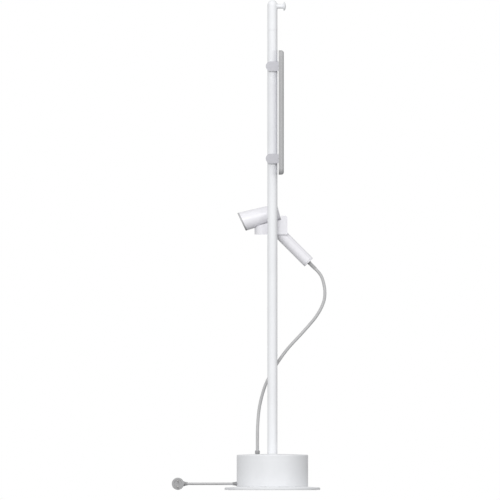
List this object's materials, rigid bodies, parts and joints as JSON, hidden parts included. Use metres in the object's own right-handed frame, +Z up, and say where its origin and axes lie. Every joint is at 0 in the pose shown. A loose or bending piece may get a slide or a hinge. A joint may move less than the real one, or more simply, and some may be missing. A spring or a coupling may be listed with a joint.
{
  "type": "hair dryer stand",
  "caption": "Free-standing column on a weighted round base with a corded pistol-shaped hair dryer in a fork cradle, a turning mirror on pole clamps, a coat peg and a mains plug.",
  "frame": {"origin": "on the floor at the pole's axis, the centre of the base plate's underside", "axes": "+Z up along the pole, +X to the side the peg and the mirror are on, +Y to the side where the hand piece hangs"},
  "size_m": [0.4949, 0.306, 1.568],
  "materials": {
    "paint": "satin powder coat",
    "white_plastic": "semi-gloss moulded",
    "grey_plastic": "fine matt",
    "clamp_grey": "satin",
    "dark_plastic": "matt",
    "cable_jacket": "matt jacket",
    "rubber": "matt",
    "steel": "zinc plated",
    "iron": "as cast",
    "brass": "plated",
    "mirror": "polished",
    "board": "matt",
    "ceramic": "rough"
  },
  "bodies": {
    "stand": {"floor_pad": "rubber", "base_plate": "paint", "socket_flange": "steel", "socket_bolt_1": "steel", "socket_bolt_2": "steel", "socket_bolt_3": "steel", "socket_bolt_4": "steel", "ballast_ring": "iron", "drum_cover": "paint", "cover_screw_1": "steel", "cover_screw_2": "steel", "cover_screw_3": "steel", "cover_screw_4": "steel", "terminal_block": "grey_plastic", "supply_module": "grey_plastic", "mains_bushing": "dark_plastic", "cable_gland": "dark_plastic", "gland_nut": "dark_plastic", "pole_tube": "paint", "pole_head": "paint", "coat_peg": "paint", "cradle": "white_plastic", "cradle_screw_1": "steel", "cradle_screw_2": "steel", "hand_cable": "cable_jacket", "mains_cord": "cable_jacket", "plug_body": "dark_plastic", "plug_pin_upper": "brass", "plug_pin_lower": "brass"},
    "mirror": {"clamp_block_upper": "clamp_grey", "clamp_block_lower": "clamp_grey", "clamp_grub_upper": "steel", "clamp_grub_lower": "steel", "panel_screw_upper_near": "steel", "panel_screw_upper_far": "steel", "panel_screw_lower_near": "steel", "panel_screw_lower_far": "steel", "panel_back": "grey_plastic", "panel_frame": "grey_plastic", "mirror_glass": "mirror", "backing_board": "board"},
    "hand_piece": {"barrel_shell": "white_plastic", "outlet_ring": "dark_plastic", "heater_core": "ceramic", "motor_mount": "dark_plastic", "fan_motor": "steel", "air_filter": "dark_plastic", "rear_cover": "white_plastic", "grip_shell": "white_plastic", "grip_board": "board", "grip_end_cap": "white_plastic", "cable_boot": "dark_plastic"},
    "fan": {"fan_impeller": "dark_plastic"},
    "switch": {"power_slider": "grey_plastic"},
    "button": {"cool_button": "grey_plastic"}
  },
  "joints": [
    {"name": "mirror_turn", "type": "hinge", "parent": "stand", "child": "mirror", "pos_m": [0, 0, 1.208], "axis": [0, 0, 1], "range_deg": [-90, 90]},
    {"name": "hand_piece_lift", "type": "slide", "parent": "stand", "child": "hand_piece", "axis": [0, 0, 1], "range_m": [0, 0.085]},
    {"name": "fan_spin", "type": "hinge", "parent": "hand_piece", "child": "fan", "pos_m": [-0.0989, 0.05, 0.858], "axis": [0.9659, 0, 0.2588], "continuous": true},
    {"name": "power_slide", "type": "slide", "parent": "hand_piece", "child": "switch", "axis": [0.7071, 0, -0.7071], "range_m": [0, 0.012]},
    {"name": "cool_press", "type": "slide", "parent": "hand_piece", "child": "button", "axis": [0, -1, 0], "range_m": [0, 0.002], "stiffness_N_per_m": 400, "springref_m": -0.001}
  ]
}
